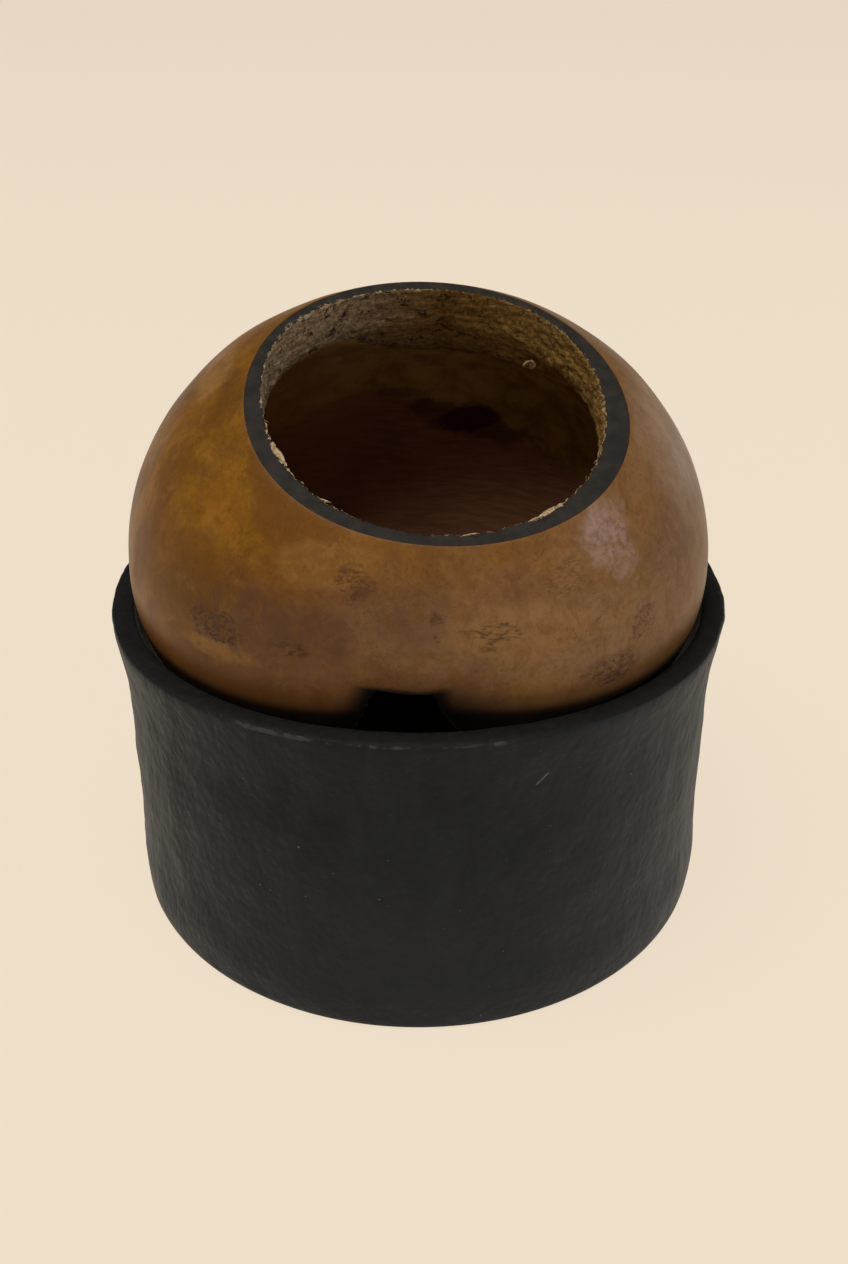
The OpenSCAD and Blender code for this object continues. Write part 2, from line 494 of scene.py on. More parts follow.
def fibre_pattern():
    """One torn fibre, one unit long, tapered and bent."""
    deselect()
    bpy.ops.mesh.primitive_cone_add(vertices=5, radius1=0.5, radius2=0.12, depth=1, location=(0, 0, 0.5))
    fibre = bpy.context.object
    fibre.name = "fibre_pattern"
    bpy.ops.object.transform_apply(location=True)
    bpy.ops.object.mode_set(mode="EDIT")
    bpy.ops.mesh.select_all(action="DESELECT")
    bpy.ops.mesh.select_mode(type="EDGE")
    bpy.ops.object.mode_set(mode="OBJECT")
    for edge in fibre.data.edges:
        low, high = (fibre.data.vertices[v].co.z for v in edge.vertices)
        edge.select = abs(low - high) > 0.5
    bpy.ops.object.mode_set(mode="EDIT")
    bpy.ops.mesh.subdivide(number_cuts=3)
    bpy.ops.object.mode_set(mode="OBJECT")
    for vertex in fibre.data.vertices:
        vertex.co.x += vertex.co.z ** 2
    return fibre


def torn_fibres(inner):
    """All the fine fibres, each turned, sized and leaned by chance."""
    dice = random.Random(11)
    pattern = fibre_pattern()
    pieces = []
    for low, high, count, longest, lean in FRINGES:
        for _ in range(count):
            turn_deg = dice.uniform(low, high)
            inward = dice.uniform(-0.25, 0.2) * MM
            drop = dice.uniform(0.0, 0.5) * MM
            axes = rim_axes(inner, turn_deg, inward, drop)
            length = longest * dice.uniform(0.35, 1.0) * MM
            thick = dice.uniform(0.07, 0.16) * MM
            along = math.radians(dice.choice((-90, 90)) + dice.uniform(-40, 40))
            inwards = math.radians(dice.uniform(0, 60) * lean * 2)
            turn = Euler((inwards, along, dice.uniform(-0.6, 0.6)), "YXZ").to_matrix().to_4x4()
            spin = Matrix.Rotation(dice.uniform(0, 6.28), 4, "Z")
            size = Matrix.Diagonal((thick, thick, length, 1.0))
            pieces.append(copy_placed(pattern, axes @ turn @ spin @ size))
    bpy.data.objects.remove(pattern)
    fibres = joined(pieces, "torn_pith_fibres")
    smooth_shading(fibres)
    return fibres


def chip_pattern(number):
    """A ragged flake, one unit long, thick at its root and torn thin at its ends."""
    deselect()
    bpy.ops.mesh.primitive_cube_add(size=1)
    chip = bpy.context.object
    bpy.ops.object.mode_set(mode="EDIT")
    bpy.ops.mesh.select_all(action="SELECT")
    bpy.ops.mesh.subdivide(number_cuts=5)
    bpy.ops.object.mode_set(mode="OBJECT")
    for vertex in chip.data.vertices:
        taper = 1 - 0.8 * abs(vertex.co.x * 2) ** 2.2
        vertex.co.y *= taper
        vertex.co.z *= taper * (0.6 + 0.8 * (vertex.co.y + 0.5))
    mask(chip, "all", np.ones(len(chip.data.vertices)))
    chip.name = f"chip_{number}"
    axes = Matrix.Translation(Vector((number * 3.1, number, 0)))
    relief(chip, "all", 0.30, 0.20, 1, axes)
    chip.vertex_groups.clear()
    return chip


def torn_chips(inner):
    """All the chips, each with its own ragged shape."""
    dice = random.Random(5)
    pieces = []
    for number, (turn, drop, length, width, thick) in enumerate(CHIPS):
        pattern = chip_pattern(number)
        axes = rim_axes(inner, turn, 0.1 * MM, drop * MM)
        tip = Euler((dice.uniform(-0.3, 0.3), dice.uniform(-0.12, 0.12), dice.uniform(-0.1, 0.1)))
        size = Matrix.Diagonal((length * MM, width * MM, thick * MM, 1.0))
        pieces.append(copy_placed(pattern, axes @ tip.to_matrix().to_4x4() @ size))
        bpy.data.objects.remove(pattern)
    chips = joined(pieces, "torn_pith_chips")
    smooth_shading(chips)
    return chips


# The shaving that curls out of the pith at the back right. Its turn round the mouth is in
# degrees, its curl in radians, and its curl's radius is a share of its length.
SHAVING_TURN = 43.5
SHAVING_DROP = 9.6 * MM
SHAVING_LENGTH = 3.0 * MM
SHAVING_WIDTH = 1.9 * MM
SHAVING_CURL = 1.9
SHAVING_RADIUS = 0.42
SHAVING_LAY = Euler((math.radians(84), math.radians(-20), 0))


def curled_shaving(inner):
    """A thin strip that curls away from the wall."""
    deselect()
    bpy.ops.mesh.primitive_plane_add(size=1)
    strip = bpy.context.object
    strip.name = strip.data.name = "curled_pith_shaving"
    bpy.ops.object.mode_set(mode="EDIT")
    bpy.ops.mesh.select_all(action="SELECT")
    bpy.ops.mesh.subdivide(number_cuts=11)
    bpy.ops.object.mode_set(mode="OBJECT")
    for vertex in strip.data.vertices:
        along = vertex.co.x + 0.5
        angle = SHAVING_CURL * along ** 1.3
        taper = 1 - 0.7 * abs(2 * along - 0.9) ** 1.6
        vertex.co.x = SHAVING_RADIUS * math.sin(angle)
        vertex.co.y *= taper
        vertex.co.z = SHAVING_RADIUS * (1 - math.cos(angle))
    axes = rim_axes(inner, SHAVING_TURN, 0.3 * MM, SHAVING_DROP)
    size = Matrix.Diagonal((SHAVING_LENGTH, SHAVING_WIDTH, SHAVING_LENGTH, 1.0))
    strip.data.transform(axes @ SHAVING_LAY.to_matrix().to_4x4() @ size)
    apply_modifier(strip, "SOLIDIFY", thickness=0.3 * MM, offset=0)
    mask(strip, "all", np.ones(len(strip.data.vertices)))
    relief(strip, "all", 0.6 * MM, 0.35 * MM, 1)
    smooth_shading(strip)
    return strip


# ---------------------------------------------------------------------------------------------
# The leather band
# ---------------------------------------------------------------------------------------------
def mark_band_zones(piece):
    """Sorts the band's faces into wall, cut edge and lining, by their place and normal."""
    mesh = piece.data
    for _ in (WALL, CUT_EDGE, LINING):
        mesh.materials.append(None)
    centres = face_values(mesh, "center", 3)
    normals = face_values(mesh, "normal", 3)
    outward = (centres[:, 0] * normals[:, 0] + centres[:, 1] * normals[:, 1]) > 0
    zones = np.where(outward, WALL, LINING)
    zones[np.abs(normals[:, 2]) > 0.5] = CUT_EDGE
    mesh.polygons.foreach_set("material_index", zones.astype(np.int32))


def shape_band():
    """The leather ring, with shallow waves all round and wrinkles at its two sides."""
    band = copy_of_node("leather_band", "leather_ring")
    mark_band_zones(band)
    smooth_surface(band, 2)
    zones = face_values(band.data, "material_index", 1)
    refine_faces(band, np.flatnonzero(zones == WALL))

    points = points_of(band.data)
    x, y, z = points.T
    out = np.hypot(x, y)
    side = x / BAND_HIGH.x
    rim_out = out[z > BAND_TOP - 1.2 * MM].max()

    # The rim's outer corner is rubbed pale at the front left.
    from_corner = np.hypot(out - (rim_out - 0.5 * MM), z - (BAND_TOP - 0.5 * MM))
    front_left = rise(y, -0.028, -0.044) * rise(x, 0.026, 0.010)
    store(band, "worn", rise(from_corner, 0.75 * MM, 0.2 * MM) * front_left)

    wall = rise(out, rim_out - 3.8 * MM, rim_out - 2.9 * MM)
    mask(band, "wall", wall * rise(z, 0.0, 3 * MM))
    relief(band, "wall", 9 * MM, 0.5 * MM, 2)
    mask(band, "left", wall * rise(side, -0.15, -0.6) * rise(z, 0.0, 4 * MM))
    slant = Matrix.LocRotScale(Vector(), Euler((0, math.radians(40), 0)), Vector((1.0, 1.0, 2.4)))
    relief(band, "left", 4.2 * MM, 0.34 * MM, 2, slant)
    mask(band, "right", wall * rise(side, 0.35, 0.8) * rise(z, 0.0, 4 * MM))
    upright = Matrix.Diagonal((1.0, 1.0, 2.4, 1.0))
    relief(band, "right", 4.6 * MM, 0.30 * MM, 2, upright)
    mask(band, "edge", rise(z, BAND_TOP - 1.5 * MM, BAND_TOP - 0.3 * MM))
    relief(band, "edge", 6 * MM, 0.2 * MM, 1)
    smooth_shading(band)
    return band


# ---------------------------------------------------------------------------------------------
# Material helpers
# ---------------------------------------------------------------------------------------------
class Finish:
    """A material with its Principled shader, and short names for the nodes that feed it."""

    def __init__(self, name, **sockets):
        self.material = bpy.data.materials.new(name)
        self.material.use_nodes = True
        self.tree = self.material.node_tree
        self.shader = self.tree.nodes["Principled BSDF"]
        for key, value in sockets.items():
            self.shader.inputs[key.replace("_", " ")].default_value = value
        self.place = self.node("ShaderNodeTexCoord").outputs["Object"]

    def node(self, kind, inputs=None, **settings):
        made = self.tree.nodes.new(kind)
        for key, value in settings.items():
            setattr(made, key, value)
        for key, value in (inputs or {}).items():
            self.feed(made.inputs[key], value)
        return made

    def feed(self, socket, value):
        if isinstance(value, bpy.types.NodeSocket):
            self.tree.links.new(value, socket)
        else:
            socket.default_value = value

    def math(self, operation, a, b=0.0, clamp=False):
        made = self.node("ShaderNodeMath", {0: a, 1: b}, operation=operation, use_clamp=clamp)
        return made.outputs[0]

    def times(self, a, b):
        return self.math("MULTIPLY", a, b)

    def plus(self, a, b, clamp=False):
        return self.math("ADD", a, b, clamp)

    def minus(self, a, b, clamp=False):
        return self.math("SUBTRACT", a, b, clamp)

    def wavering(self, value, noise, amount):
        """A value that noise sways by half of amount to either side."""
        return self.plus(value, self.times(self.minus(noise, 0.5), amount))

    def axes(self):
        """X, Y and Z of the place on the piece, in metres."""
        return self.node("ShaderNodeSeparateXYZ", {0: self.place}).outputs

    def step(self, value, low, high):
        """0 at low, 1 at high, smooth between them."""
        ramp = self.node(
            "ShaderNodeMapRange", {"Value": value, "From Min": low, "From Max": high},
            interpolation_type="SMOOTHSTEP",
        )
        return ramp.outputs["Result"]

    def mapped(self, scale=(1, 1, 1), turn=(0, 0, 0), move=(0, 0, 0)):
        """The place on the piece, on axes that are scaled, turned by degrees and moved."""
        turn = tuple(map(math.radians, turn))
        inputs = {"Vector": self.place, "Scale": scale, "Rotation": turn, "Location": move}
        return self.node("ShaderNodeMapping", inputs).outputs["Vector"]

    def noise(self, grain, detail=3.0, rough=0.55, where=None, warp=0.0):
        """Noise with grains of about that many millimetres."""
        made = self.node(
            "ShaderNodeTexNoise",
            {
                "Vector": self.place if where is None else where,
                "Scale": 1000.0 / grain,
                "Detail": detail,
                "Roughness": rough,
                "Distortion": warp,
            },
        )
        return made.outputs["Fac"]

    def pebbles(self, grain, where):
        """Rounded cells of about that many millimetres."""
        inputs = {"Vector": where, "Scale": 1000.0 / grain}
        return self.node("ShaderNodeTexVoronoi", inputs, feature="SMOOTH_F1").outputs["Distance"]

    def attribute(self, name):
        return self.node("ShaderNodeAttribute", attribute_name=name).outputs["Fac"]

    def blend(self, share, below, above):
        """The colour below where share is 0, and the one above where it is 1."""
        made = self.node("ShaderNodeMix", data_type="RGBA")
        self.feed(made.inputs[0], share)
        self.feed(made.inputs[6], below)
        self.feed(made.inputs[7], above)
        return made.outputs[2]

    def tint(self, tone, share, strength, above):
        return self.blend(self.times(share, strength), tone, above)

    def patch(self, centre, reach, ragged, grain):
        """1 in a ragged blot round a point, 0 outside it. centre and reach are in millimetres."""
        scale = tuple(1000.0 / r for r in reach)
        move = tuple(-c / r for c, r in zip(centre, reach))
        away = self.node("ShaderNodeVectorMath", {0: self.mapped(scale, move=move)}, operation="LENGTH")
        away = self.wavering(away.outputs["Value"], self.noise(grain), 2 * ragged)
        return self.step(away, 1.0, 0.55)

    def patches(self, table, ragged, grain):
        """The strongest of several blots, each a middle, a reach and a strength."""
        made = None
        for centre, reach, strength in table:
            spot = self.times(self.patch(centre, reach, ragged, grain), strength)
            made = spot if made is None else self.math("MAXIMUM", made, spot)
        return made

    def bump(self, height, distance, below=None):
        """Small relief of that many millimetres, on top of the relief below."""
        made = self.node("ShaderNodeBump", {"Height": height, "Distance": distance * MM})
        if below is not None:
            self.feed(made.inputs["Normal"], below)
        return made.outputs["Normal"]

    def torn_tone(self):
        """Torn pith: cream at the front, golden at the right and greyer at the back left."""
        x, y, _ = self.axes()
        fibres = self.step(self.noise(0.5, 4, 0.7), 0.35, 0.65)
        cream = self.blend(fibres, colour(0.24, 0.15, 0.07), colour(0.62, 0.47, 0.28))
        golden = self.blend(fibres, colour(0.16, 0.09, 0.026), colour(0.40, 0.27, 0.11))
        grey = self.blend(fibres, colour(0.12, 0.085, 0.05), colour(0.38, 0.29, 0.18))
        behind = self.blend(self.step(x, -0.010, 0.004), grey, golden)
        return self.blend(self.step(y, -0.010, -0.024), behind, cream)

    def use(self, **links):
        """Feeds the shader's sockets and gives the finished material."""
        for key, value in links.items():
            self.feed(self.shader.inputs[key.replace("_", " ")], value)
        return self.material


def colour(r, g, b):
    return (r, g, b, 1.0)


# ---------------------------------------------------------------------------------------------
# Materials
# ---------------------------------------------------------------------------------------------
# Colours of the skin.
OCHRE = colour(0.250, 0.105, 0.009)
UMBER = colour(0.150, 0.060, 0.008)
TAWNY = colour(0.225, 0.118, 0.050)
RUSSET = colour(0.115, 0.056, 0.026)
SADDLE = colour(0.228, 0.130, 0.064)
AMBER = colour(0.125, 0.052, 0.004)
SEPIA = colour(0.045, 0.020, 0.010)
# Dark brown for fine flecks, and for the painted shade at the foot.
FLECK_AND_SHADE_BROWN = colour(0.085, 0.033, 0.008)
# Near-black painted shade, round the scar and in the gap behind the rim.
SHADE_BLACK = colour(0.0035, 0.0028, 0.0022)
HONEY = colour(0.330, 0.170, 0.048)
DUSKY = colour(0.085, 0.040, 0.020)
# Pale lilac for a painted highlight.
HIGHLIGHT_LILAC = colour(0.420, 0.300, 0.270)

# How much varnish lies over the skin, from 0 to 1.
COAT = 0.04

# Places on the skin and inside: each blot's middle, its reach along X, Y and Z and its strength.
# Lengths are in millimetres.
SCUFFS = (
    ((-29, -38.5, 66.5), (6, 8, 3.2), 1.0),
    ((-17, -44, 65.5), (5, 6, 1.9), 1.0),
    ((-8.5, -43.5, 76), (3.2, 5, 3.8), 0.8),
    ((10, -45, 68), (4.5, 5, 2.6), 0.8),
    ((2.5, -45, 69.5), (1.2, 4, 3.2), 0.8),
    ((28, -39, 59.6), (6.5, 6, 2.3), 1.0),
    ((32.5, -36, 65.8), (2.4, 4, 3.8), 0.8),
    ((20, -41, 75), (4, 5, 3), 0.5),
)
AMBER_PLACES = (
    ((-31, -35, 71), (10, 11, 6.0), 1.0),
)
HONEY_AND_HIGHLIGHT_PLACES = (
    ((-31, -5, 93), (8, 9, 4.6), 1.0),
    ((-12, -42, 78), (9, 6, 3.5), 0.5),
    ((33, -8, 86), (7, 12, 6.0), 0.5),
    ((16, -43, 68), (14, 9, 5.0), 0.45),
    # The next two are painted highlights: pale arcs on the lower lobes.
    ((-29, -38.5, 62.6), (9, 9, 1.9), 0.6),
    ((19, -43.5, 59.4), (10, 7, 1.7), 0.65),
)
DUSKY_PLACES = (
    ((36, -28, 74), (7, 12, 6.5), 0.7),
    ((-20, -42, 68), (16, 14, 5.5), 1.0),
    ((28, -39, 60), (8, 7, 3.2), 0.8),
    ((-4, -44, 72), (9, 8, 4.5), 0.6),
    ((12, -44, 75), (7, 8, 3.5), 0.5),
)
# A painted highlight: the pale, blotchy glint of the window on the right shoulder.
HIGHLIGHT_PLACES = (
    ((26.2, -35.6, 79.3), (4.8, 7, 5.4), 1.0),
    ((28.5, -35.5, 75.5), (3.4, 6, 3.6), 0.7),
)
STAINS = (
    ((-3.0, 36, 76.6), (6.5, 10, 1.4), 0.4),
    ((3.5, 36, 73.6), (8.0, 10, 2.6), 0.65),
    ((8.5, 36, 71.0), (7.5, 10, 4.2), 1.0),
    ((17.0, 36, 67.6), (8.0, 10, 2.6), 0.6),
)

# The upper edge of the cavity's dark floor is highest at FLOOR_X and slopes down to both sides.
FLOOR_X = -8 * MM
FLOOR_TOP = 80.1 * MM
FLOOR_SLOPE = 0.47
FLOOR_ROUNDING = 6 * MM

# A short slanting scratch on the front of the leather wall.
SCRATCH_X = 17.8 * MM
SCRATCH_Z = 46.2 * MM
SCRATCH_HALF = 1.5 * MM
RUBBED_LEATHER = colour(0.075, 0.075, 0.073)


def skin_ground(f):
    """The skin's broad colours, which hold painted reflection in part: golden at the left, a greyer
    tawny at the right and saddle brown in front.
    """
    x, y, z = f.axes()
    clouds = f.step(f.noise(15, 5, 0.62, warp=0.8), 0.38, 0.62)
    tone = f.blend(clouds, UMBER, OCHRE)
    # Painted reflection in part: the right side and the band in front are greyer and paler.
    rightward = f.step(f.wavering(x, f.noise(12), 0.06), -0.022, 0.035)
    tone = f.tint(tone, rightward, 0.72, TAWNY)
    forward = f.step(f.wavering(y, f.noise(11), 0.022), -0.024, -0.042)
    forward = f.times(forward, f.step(z, BAND_TOP + 26 * MM, BAND_TOP + 14 * MM))
    saddle = f.blend(f.step(f.wavering(x, clouds, 0.012), -0.020, 0.024), RUSSET, SADDLE)
    tone = f.tint(tone, forward, 0.85, saddle)
    tone = f.tint(tone, f.patches(AMBER_PLACES, 0.5, 9.0), 0.7, AMBER)
    return f.tint(tone, f.patches(HONEY_AND_HIGHLIGHT_PLACES, 0.5, 9.0), 0.7, HONEY)


def skin_mottling(f, tone):
    """Mottling, bright flecks, dark specks, fine dark squiggles and painted shade at the foot."""
    mottle = f.step(f.noise(5.5, 6, 0.68, warp=1.6), 0.46, 0.64)
    tone = f.tint(tone, mottle, 0.42, UMBER)
    elsewhere = f.mapped(move=(0.3, 0.1, 0.2))
    bright = f.step(f.noise(6.0, 6, 0.72, where=elsewhere, warp=0.5), 0.50, 0.68)
    tone = f.tint(tone, bright, 0.24, HONEY)
    specks = f.step(f.noise(0.8, 3, 0.75), 0.56, 0.72)
    tone = f.tint(tone, specks, 0.34, SEPIA)
    squiggles = f.math("ABSOLUTE", f.minus(f.noise(3.4, 3, 0.7, warp=2.0), 0.5))
    squiggles = f.times(f.step(squiggles, 0.022, 0.004), f.step(f.noise(9, 2), 0.48, 0.62))
    tone = f.tint(tone, squiggles, 0.32, SEPIA)
    fine = f.step(f.noise(1.9, 6, 0.78, warp=0.6), 0.40, 0.64)
    tone = f.tint(tone, fine, 0.26, FLECK_AND_SHADE_BROWN)
    # Painted shade: darker towards the foot, down by the band.
    low = f.step(f.axes()[2], BAND_TOP + 9 * MM, BAND_TOP + 0.5 * MM)
    return f.tint(tone, low, 0.66, FLECK_AND_SHADE_BROWN)


def varnished_skin():
    """Satin varnish over golden brown skin, with clouds, scuffs, a painted highlight, and painted shade
    at the foot, round the scar and in the gap.
    """
    f = Finish("varnished_gourd_skin", Specular_IOR_Level=0.09, Coat_Roughness=0.10)
    tone = skin_mottling(f, skin_ground(f))

    # Rubbed places, each broken up by long thin scratches, then dusky ones, then a painted highlight:
    # the pale, blotchy glint of the window.
    lay = f.mapped((0.45, 1.0, 1.4), (0, -18, 0))
    streaks = f.step(f.noise(1.3, 5, 0.75, where=lay, warp=1.6), 0.46, 0.60)
    rubbed = f.patches(SCUFFS, 0.9, 4.5)
    scratched = f.times(rubbed, streaks)
    tone = f.tint(tone, scratched, 0.8, SEPIA)
    dusky = f.step(f.noise(2.6, 5, 0.7, warp=1.0), 0.34, 0.60)
    tone = f.tint(tone, f.times(f.patches(DUSKY_PLACES, 0.8, 6.0), dusky), 0.6, DUSKY)
    highlight_grain = f.step(f.noise(0.9, 4, 0.75), 0.25, 0.72)
    tone = f.tint(tone, f.times(f.patches(HIGHLIGHT_PLACES, 0.35, 2.5), highlight_grain), 0.50, HIGHLIGHT_LILAC)

    # Painted shade: the skin darkened round the scar, and down in the gap behind the rim.
    scar_shade = f.attribute("scar_shade")
    gap = f.step(f.axes()[2], BAND_TOP + 1.7 * MM, BAND_TOP - 0.6 * MM)
    tone = f.blend(scar_shade, tone, SHADE_BLACK)
    tone = f.tint(tone, gap, 0.85, SHADE_BLACK)

    normal = f.bump(f.plus(f.noise(0.8, 4, 0.65), scratched), 0.035)
    normal = f.bump(f.noise(5.0, 3, 0.5), 0.12, below=normal)
    shade_mask = f.math("MAXIMUM", scar_shade, gap)
    dull = f.plus(f.times(f.noise(6, 4, 0.6), 0.22), 0.30)
    dull = f.plus(dull, f.times(shade_mask, 0.55), clamp=True)
    coat = f.times(f.minus(1.0, shade_mask, clamp=True), COAT)
    return f.use(
        Base_Color=tone, Roughness=dull, Coat_Weight=coat, Normal=normal, Coat_Normal=normal
    )


def scar_with_painted_shade():
    """The scar where the stem sat: painted black, with no shine, as the shade in its pit."""
    f = Finish("scar_with_painted_shade", Roughness=1.0, Specular_IOR_Level=0.0)
    deepest_shade = colour(0.0020, 0.0020, 0.0020)
    pale_shade = colour(0.0050, 0.0044, 0.0038)
    return f.use(Base_Color=f.blend(f.noise(1.5, 4, 0.7), deepest_shade, pale_shade))


def painted_lip():
    """Flat slate-black paint on the sanded edge, torn away along the bore."""
    f = Finish("painted_lip", Roughness=0.7, Specular_IOR_Level=0.12)
    ragged = f.minus(f.times(f.noise(0.9, 5, 0.75), 5.5), 2.5)
    edge = f.times(f.attribute("bare_width"), ragged)
    bare = f.step(f.minus(f.attribute("inset"), edge), 0.05, -0.05)
    dark = colour(0.0210, 0.0175, 0.0150)
    light = colour(0.0340, 0.0280, 0.0235)
    paint = f.blend(f.step(f.noise(2.6, 4, 0.6), 0.35, 0.7), dark, light)
    normal = f.bump(f.noise(0.6, 4, 0.7), 0.05)
    normal = f.bump(f.times(bare, -1.0), 0.15, below=normal)
    return f.use(Base_Color=f.blend(bare, paint, f.torn_tone()), Normal=normal)


def hollow_inside():
    """Grey and ochre pith on the cut, then a smooth brown wall and a darker, redder floor, which is
    painted shade.
    """
    f = Finish("gourd_inside", Roughness=0.85, Specular_IOR_Level=0.15)
    x, _, z = f.axes()
    depth = f.minus(f.attribute("depth"), f.attribute("pith_extra"))
    uneven = f.times(f.minus(f.noise(5, 5, 0.65), 0.5), 6.5)
    below = f.plus(depth, uneven)

    # Pith: grey-tan on the left, ochre on the right, shaded between them, with dark pores.
    lay = f.mapped((0.30, 0.30, 2.0), (math.degrees(MOUTH_TILT), math.degrees(MOUTH_LEAN), 0))
    fibres = f.noise(1.0, 5, 0.7, where=lay, warp=0.6)
    crumbs = f.noise(0.9, 5, 0.75, warp=0.8)
    texture = f.plus(f.times(fibres, 0.5), f.times(crumbs, 0.5))
    ridges = f.step(texture, 0.38, 0.66)
    grey = f.blend(ridges, colour(0.150, 0.096, 0.048), colour(0.640, 0.470, 0.270))
    ochre = f.blend(ridges, colour(0.130, 0.068, 0.014), colour(0.44, 0.250, 0.066))
    rightward = f.step(f.plus(x, f.times(uneven, 0.0012)), -0.009, 0.004)
    pith = f.blend(rightward, grey, ochre)
    between = f.times(f.step(x, -0.019, -0.005), f.step(x, 0.019, 0.005))
    pith = f.tint(pith, between, 0.42, colour(0.060, 0.028, 0.007))
    pores = f.step(f.noise(1.9, 4, 0.72, warp=0.8), 0.575, 0.645)
    porous = f.times(f.step(x, 0.016, 0.000), f.step(x, -0.030, -0.012))
    pith = f.tint(pith, f.times(pores, porous), 0.9, colour(0.014, 0.008, 0.005))
    pith = f.tint(pith, f.step(depth, 3.0, 9.0), 0.30, colour(0.070, 0.042, 0.018))

    patchy = f.step(f.noise(6, 5, 0.65), 0.35, 0.65)
    wall = f.blend(patchy, colour(0.190, 0.115, 0.030), colour(0.330, 0.220, 0.062))
    grain = f.noise(1.6, 4, 0.65, where=f.mapped((0.25, 0.25, 2.5)), warp=0.6)
    streaky = f.step(grain, 0.35, 0.7)
    # Painted shade: the floor below the lit upper wall is darker and redder.
    floor = f.blend(streaky, colour(0.190, 0.088, 0.046), colour(0.260, 0.125, 0.066))
    away = f.minus(x, FLOOR_X)
    away = f.math("SQRT", f.plus(f.times(away, away), FLOOR_ROUNDING ** 2))
    floor_top = f.minus(FLOOR_TOP, f.times(away, FLOOR_SLOPE))
    floor_top = f.plus(floor_top, f.times(uneven, 0.0005))
    in_floor = f.step(f.minus(z, floor_top), 0.0012, -0.0012)
    tone = f.blend(in_floor, wall, floor)
    # Painted light: the inside is lighter towards its left.
    tone = f.tint(tone, f.step(x, 0.0, -0.022), 0.25, colour(0.48, 0.27, 0.13))
    tone = f.tint(tone, f.patches(STAINS, 0.75, 6.0), 0.9, colour(0.035, 0.009, 0.012))
    tone = f.blend(f.step(below, BORE_MM - 0.9, BORE_MM + 0.9), pith, tone)

    rough_pith = f.plus(texture, f.times(pores, -0.8))
    on_pith = f.step(below, BORE_MM + 1, BORE_MM - 1)
    normal = f.bump(f.times(rough_pith, on_pith), 0.5)
    return f.use(Base_Color=tone, Normal=f.bump(grain, 0.15, below=normal))


def torn_pith():
    """Fresh pale pith, where the cut edge tore."""
    f = Finish("torn_pith", Roughness=0.75, Specular_IOR_Level=0.2)
    return f.use(Base_Color=f.torn_tone(), Normal=f.bump(f.noise(0.5, 4, 0.7), 0.08))


def rubbed_leather(f, strength, base):
    """Leather whose colour is rubbed off here and there along the worn corner."""
    thin = f.step(f.times(f.attribute("worn"), f.noise(3.5, 4, 0.7)), 0.42, 0.58)
    return f.tint(base, thin, strength, RUBBED_LEATHER)


def scratch(f, x, y, z):
    """1 on the short scratch, which rises to the right at 45 degrees, and 0 off it."""
    right, up = f.minus(x, SCRATCH_X), f.minus(z, SCRATCH_Z)
    along = f.math("ABSOLUTE", f.times(f.plus(right, up), 0.7))
    across = f.wavering(f.times(f.minus(up, right), 0.7), f.noise(1.6), 0.5 * MM)
    line = f.step(f.math("ABSOLUTE", across), 0.15 * MM, 0.05 * MM)
    line = f.times(line, f.step(along, SCRATCH_HALF, 0.6 * SCRATCH_HALF))
    return f.times(line, f.step(y, -0.03, -0.04))


def leather_wall():
    """Black grained leather, greyer towards its foot, and painted lighter and cooler at its right side,
    where light falls.
    """
    f = Finish("black_leather_wall", Specular_IOR_Level=0.09, Sheen_Weight=0.07, Sheen_Roughness=0.4)
    x, y, z = f.axes()
    pebbles = f.pebbles(1.25, f.mapped((1, 1, 0.85)))
    wrinkles = f.noise(6.5, 4, 0.55, where=f.mapped((1, 1, 0.5), (0, 25, 0)), warp=0.8)
    folds = f.step(wrinkles, 0.3, 0.7)
    base = f.blend(folds, colour(0.0080, 0.0104, 0.0128), colour(0.0152, 0.0187, 0.0212))
    base = f.tint(base, f.step(pebbles, 0.1, 0.5), 0.5, colour(0.0110, 0.0126, 0.0140))
    base = f.tint(base, f.step(z, 0.042, 0.008), 0.45, colour(0.022, 0.025, 0.031))
    # Painted light: lighter and cooler towards the right side.
    base = f.tint(base, f.step(x, 0.012, 0.052), 0.80, colour(0.031, 0.035, 0.041))
    specks = f.step(f.noise(0.7, 1, 0.5), 0.798, 0.815)
    base = f.tint(base, specks, 0.5, colour(0.20, 0.20, 0.19))
    base = rubbed_leather(f, 0.5, base)
    base = f.tint(base, scratch(f, x, y, z), 0.75, colour(0.16, 0.16, 0.155))

    normal = f.bump(pebbles, 0.13)
    normal = f.bump(f.noise(0.45, 3, 0.6), 0.08, below=normal)
    normal = f.bump(wrinkles, 0.24, below=normal)
    dull = f.plus(f.times(f.noise(4, 3, 0.6), 0.16), 0.44)
    return f.use(Base_Color=base, Normal=normal, Roughness=dull)


def leather_cut():
    """The pared edge of the leather, burnished black."""
    f = Finish("black_leather_edge", Roughness=0.7, Specular_IOR_Level=0.22)
    fibres = f.noise(1.1, 5, 0.7, where=f.mapped((1, 1, 1.6)))
    combed = f.step(fibres, 0.35, 0.7)
    tone = f.blend(combed, colour(0.0030, 0.0031, 0.0032), colour(0.0078, 0.0080, 0.0076))
    return f.use(Base_Color=rubbed_leather(f, 0.4, tone), Normal=f.bump(fibres, 0.12))


def leather_lining():
    """The flesh side inside the band: dark and napped."""
    f = Finish("black_leather_lining", Roughness=0.9, Specular_IOR_Level=0.12, Sheen_Weight=0.15)
    nap = f.noise(0.6, 5, 0.75)
    tone = f.blend(f.step(nap, 0.3, 0.7), colour(0.007, 0.0065, 0.006), colour(0.016, 0.015, 0.014))
    return f.use(Base_Color=tone, Normal=f.bump(nap, 0.2))


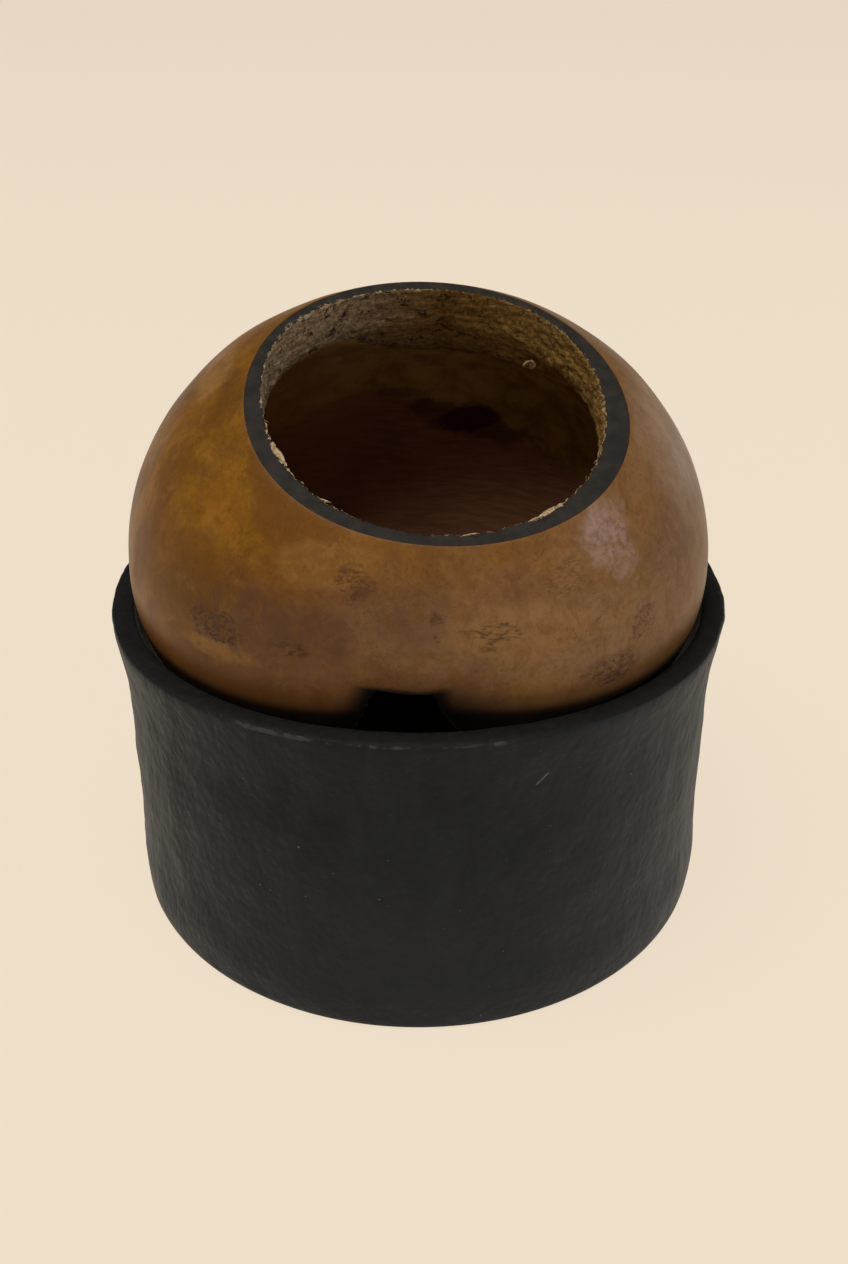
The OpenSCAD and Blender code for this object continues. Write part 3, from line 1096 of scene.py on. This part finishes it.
# ---------------------------------------------------------------------------------------------
# Stage: floor, soft light and camera
# ---------------------------------------------------------------------------------------------
CREAM = colour(0.838, 0.723, 0.573)
UNLIT_CREAM = colour(0.10, 0.085, 0.068)
FLOOR_GLOW = 0.93
LENS = 37.03
EYE = Vector((0, -0.20029, 0.15494))
LOOKS_AT = Vector((0.00097, 0, 0.04393))


def studio_floor():
    """Plain cream paper with a glow of its own, which keeps it pale up to the horizon."""
    deselect()
    bpy.ops.mesh.primitive_plane_add(size=12, location=(0, 3, 0))
    floor = bpy.context.object
    floor.name = "studio_floor"
    bpy.ops.object.transform_apply(location=True, rotation=True, scale=True)
    f = Finish("cream_paper", Base_Color=UNLIT_CREAM, Roughness=1.0, Specular_IOR_Level=0.0)
    floor.data.materials.append(f.use(Emission_Color=CREAM, Emission_Strength=FLOOR_GLOW))


def soft_light(name, place, target, size, power, tint):
    data = bpy.data.lights.new(name, "AREA")
    data.shape = "RECTANGLE"
    data.size, data.size_y = size
    data.energy = power
    data.color = tint
    lamp = bpy.data.objects.new(name, data)
    lamp.visible_camera = False
    bpy.context.scene.collection.objects.link(lamp)
    lamp.location = place
    lamp.rotation_euler = (Vector(target) - Vector(place)).to_track_quat("-Z", "Y").to_euler()


def studio_light():
    """A broad light overhead, a cool window at the right and two warm cards."""
    world = bpy.data.worlds.new("studio")
    bpy.context.scene.world = world
    world.use_nodes = True
    ground = world.node_tree.nodes["Background"]
    ground.inputs["Color"].default_value = colour(0.90, 0.86, 0.80)
    ground.inputs["Strength"].default_value = 0.10
    middle = (0, 0, BAND_TOP)
    soft_light("overhead", (-0.3, -0.3, 1.3), middle, (1.1, 1.1), 15.0, (1.0, 0.97, 0.92))
    shoulder = (0.025, -0.035, 0.08)
    soft_light("window", (0.88, -0.26, 0.47), shoulder, (0.16, 0.26), 1.5, (0.74, 0.84, 1.0))
    soft_light("front_card", (0.06, -0.33, 0.085), (0, 0, 0.07), (0.44, 0.15), 0.16, (1.0, 0.88, 0.78))
    soft_light("right_card", (0.50, 0.42, 0.03), (0.02, 0, 0.06), (0.30, 0.40), 0.55, (1.0, 0.93, 0.84))


def camera():
    data = bpy.data.cameras.new("camera")
    data.lens = LENS
    data.sensor_width = 36
    data.clip_start = 0.01
    data.clip_end = 50
    data.dof.use_dof = False
    eye = bpy.data.objects.new("camera", data)
    bpy.context.scene.collection.objects.link(eye)
    eye.location = EYE
    eye.rotation_euler = (LOOKS_AT - EYE).to_track_quat("-Z", "Y").to_euler()
    bpy.context.scene.camera = eye


# ---------------------------------------------------------------------------------------------
# Putting it together
# ---------------------------------------------------------------------------------------------
camera()
studio_floor()
studio_light()
bpy.context.scene.view_settings.view_transform = "Standard"

gourd_shell, mouth_rim = shape_gourd()
gourd_finishes = (varnished_skin(), painted_lip(), hollow_inside(), scar_with_painted_shade())
for slot, made in enumerate(gourd_finishes):
    gourd_shell.data.materials[slot] = made
pale_pith = torn_pith()
torn_pieces = (torn_fibres(mouth_rim), torn_chips(mouth_rim), curled_shaving(mouth_rim))
for piece in torn_pieces:
    piece.data.materials.clear()
    piece.data.materials.append(pale_pith)
    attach(piece, "root")
leather_ring = shape_band()
band_finishes = (leather_wall(), leather_cut(), leather_lining())
for slot, made in enumerate(band_finishes):
    leather_ring.data.materials[slot] = made

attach(gourd_shell, "root")
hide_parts("gourd")
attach(leather_ring, "root")
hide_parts("leather_band")
